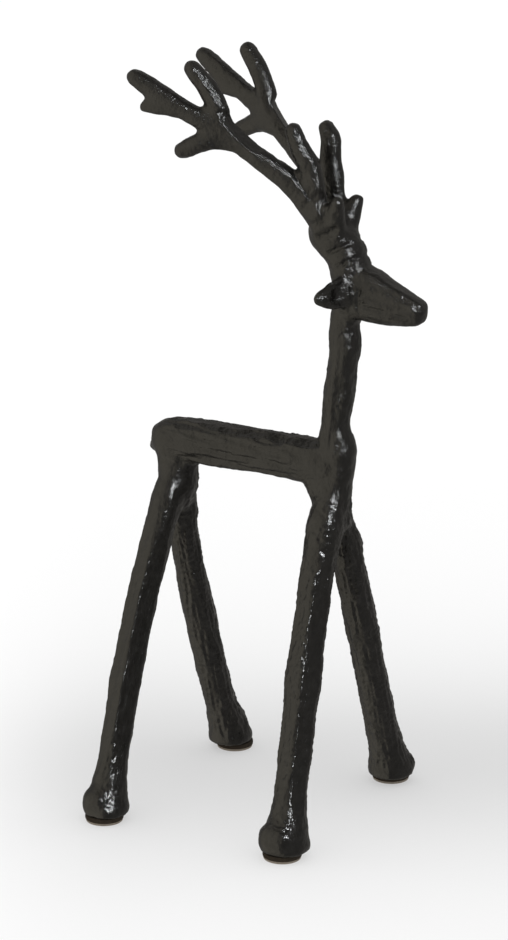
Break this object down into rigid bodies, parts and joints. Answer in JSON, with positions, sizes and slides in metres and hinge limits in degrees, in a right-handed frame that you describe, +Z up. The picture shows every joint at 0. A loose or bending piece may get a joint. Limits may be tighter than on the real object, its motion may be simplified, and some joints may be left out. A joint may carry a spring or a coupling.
{
  "type": "stag statue",
  "caption": "Standing stag figure cast in one piece, with long straight splayed legs, a slim bar body, an upright neck and branched antlers, on round foot pads.",
  "frame": {"origin": "centre of the bounding box on the plane that the foot pads stand on", "axes": "+Z up, +X towards the nose, +Y towards the stag's left side"},
  "size_m": [0.1893, 0.1706, 0.4627],
  "materials": {
    "black_iron": "glossy black-brown finish over an uneven hand-worked surface",
    "dark_felt": "dense brown-black felt"
  },
  "bodies": {
    "root": {"stag_casting": "black_iron", "foot_pad_rear_right": "dark_felt", "foot_pad_rear_left": "dark_felt", "foot_pad_front_right": "dark_felt", "foot_pad_front_left": "dark_felt"}
  },
  "joints": []
}
